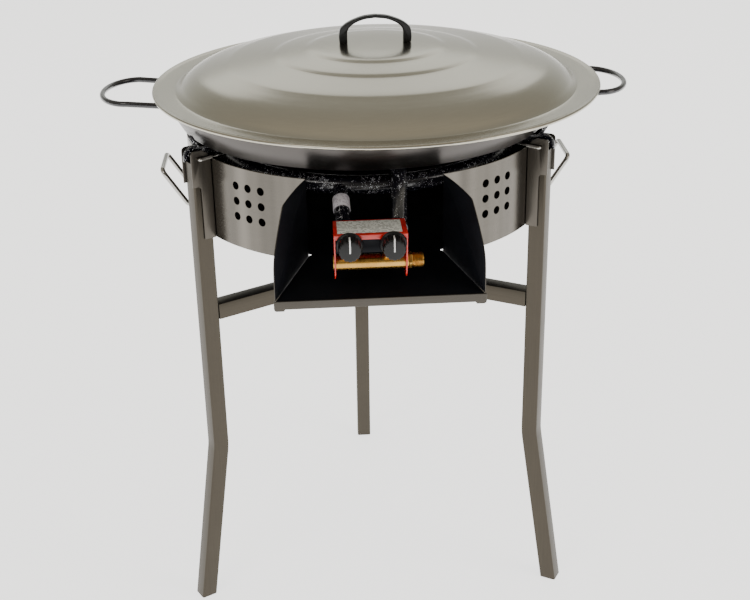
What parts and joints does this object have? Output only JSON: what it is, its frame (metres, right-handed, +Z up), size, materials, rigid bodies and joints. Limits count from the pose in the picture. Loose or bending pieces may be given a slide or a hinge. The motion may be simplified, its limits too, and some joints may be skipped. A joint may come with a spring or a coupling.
{
  "type": "paella gas cooking set",
  "caption": "Round steel pan and domed lid on a multi-ring gas burner, held in a wind shield on splayed bent-tube legs, with a front control tray.",
  "frame": {"origin": "on the ground, in the middle of the set's own box", "axes": "+Z up through the pan, -Y towards the cook and the gas controls, +X to the cook's right"},
  "size_m": [0.7954, 0.7238, 0.9056],
  "materials": {
    "stainless": "brushed",
    "polished_steel": "polished",
    "bright_wire": "bright",
    "speckled_enamel": "gloss black enamel with white speckles",
    "black_sheet": "satin black",
    "black_plastic": "satin",
    "red_paint": "gloss",
    "brass": "machined",
    "label": "satin foil",
    "white_mark": "satin"
  },
  "bodies": {
    "stand": {"leg_left": "stainless", "leg_right": "stainless", "leg_rear": "stainless", "leg_socket_left": "stainless", "leg_socket_right": "stainless", "leg_socket_rear": "stainless", "brace_left": "stainless", "brace_right": "stainless", "brace_rear": "stainless", "brace_hub": "stainless", "wind_shield": "stainless", "tray_cheek_left": "stainless", "tray_cheek_right": "stainless", "tray_lip": "stainless", "shield_floor": "black_sheet", "tray_floor": "black_sheet", "shield_handle_left": "bright_wire", "shield_handle_right": "bright_wire", "foot_plug_left": "black_plastic", "foot_plug_right": "black_plastic", "foot_plug_rear": "black_plastic"},
    "burner": {"burner_outer_ring": "speckled_enamel", "burner_inner_ring": "speckled_enamel", "burner_arm_left": "speckled_enamel", "burner_arm_right": "speckled_enamel", "burner_arm_rear": "speckled_enamel", "mixing_tube_left": "speckled_enamel", "mixing_tube_right": "speckled_enamel", "tube_label": "label", "valve_bracket": "red_paint", "valve_front_plate": "black_sheet", "spec_label": "label", "gas_manifold": "brass", "inlet_collar": "brass", "gas_inlet": "brass", "valve_body_left": "brass", "valve_body_right": "brass", "injector_left": "brass", "injector_right": "brass"},
    "spindle_left": {"valve_spindle_left": "bright_wire"},
    "spindle_right": {"valve_spindle_right": "bright_wire"},
    "knob_left": {"knob_left": "black_plastic", "knob_pointer_left": "white_mark"},
    "knob_right": {"knob_right": "black_plastic", "knob_pointer_right": "white_mark"},
    "pan": {"pan_body": "polished_steel", "pan_handle_left": "speckled_enamel", "pan_handle_right": "speckled_enamel"},
    "lid": {"lid_shell": "polished_steel", "lid_handle": "black_plastic", "handle_screw_left": "bright_wire", "handle_screw_right": "bright_wire"},
    "pin_left": {"retaining_pin_left": "bright_wire"},
    "pin_right": {"retaining_pin_right": "bright_wire"},
    "pin_rear": {"retaining_pin_rear": "bright_wire"}
  },
  "joints": [
    {"name": "burner_lift", "type": "slide", "parent": "stand", "child": "burner", "axis": [0, 0, 1], "range_m": [0, 0.1]},
    {"name": "pan_lift", "type": "slide", "parent": "burner", "child": "pan", "axis": [0, 0, 1], "range_m": [0, 0.12]},
    {"name": "lid_lift", "type": "slide", "parent": "pan", "child": "lid", "axis": [0, 0, 1], "range_m": [0, 0.15]},
    {"name": "knob_push_left", "type": "slide", "parent": "burner", "child": "spindle_left", "axis": [0, 1, 0], "range_m": [0, 0.003], "stiffness_N_per_m": 800},
    {"name": "knob_turn_left", "type": "hinge", "parent": "spindle_left", "child": "knob_left", "pos_m": [-0.04, -0.3381, 0.6845], "axis": [0, -1, 0], "range_deg": [0, 210]},
    {"name": "knob_push_right", "type": "slide", "parent": "burner", "child": "spindle_right", "axis": [0, 1, 0], "range_m": [0, 0.003], "stiffness_N_per_m": 800},
    {"name": "knob_turn_right", "type": "hinge", "parent": "spindle_right", "child": "knob_right", "pos_m": [0.0175, -0.3381, 0.6845], "axis": [0, -1, 0], "range_deg": [0, 210]},
    {"name": "pin_pull_left", "type": "slide", "parent": "stand", "child": "pin_left", "axis": [0.5, -0.866, 0], "range_m": [0, 0.034]},
    {"name": "pin_pull_right", "type": "slide", "parent": "stand", "child": "pin_right", "axis": [-0.5, -0.866, 0], "range_m": [0, 0.034]},
    {"name": "pin_pull_rear", "type": "slide", "parent": "stand", "child": "pin_rear", "axis": [-1, 0, 0], "range_m": [0, 0.034]}
  ]
}
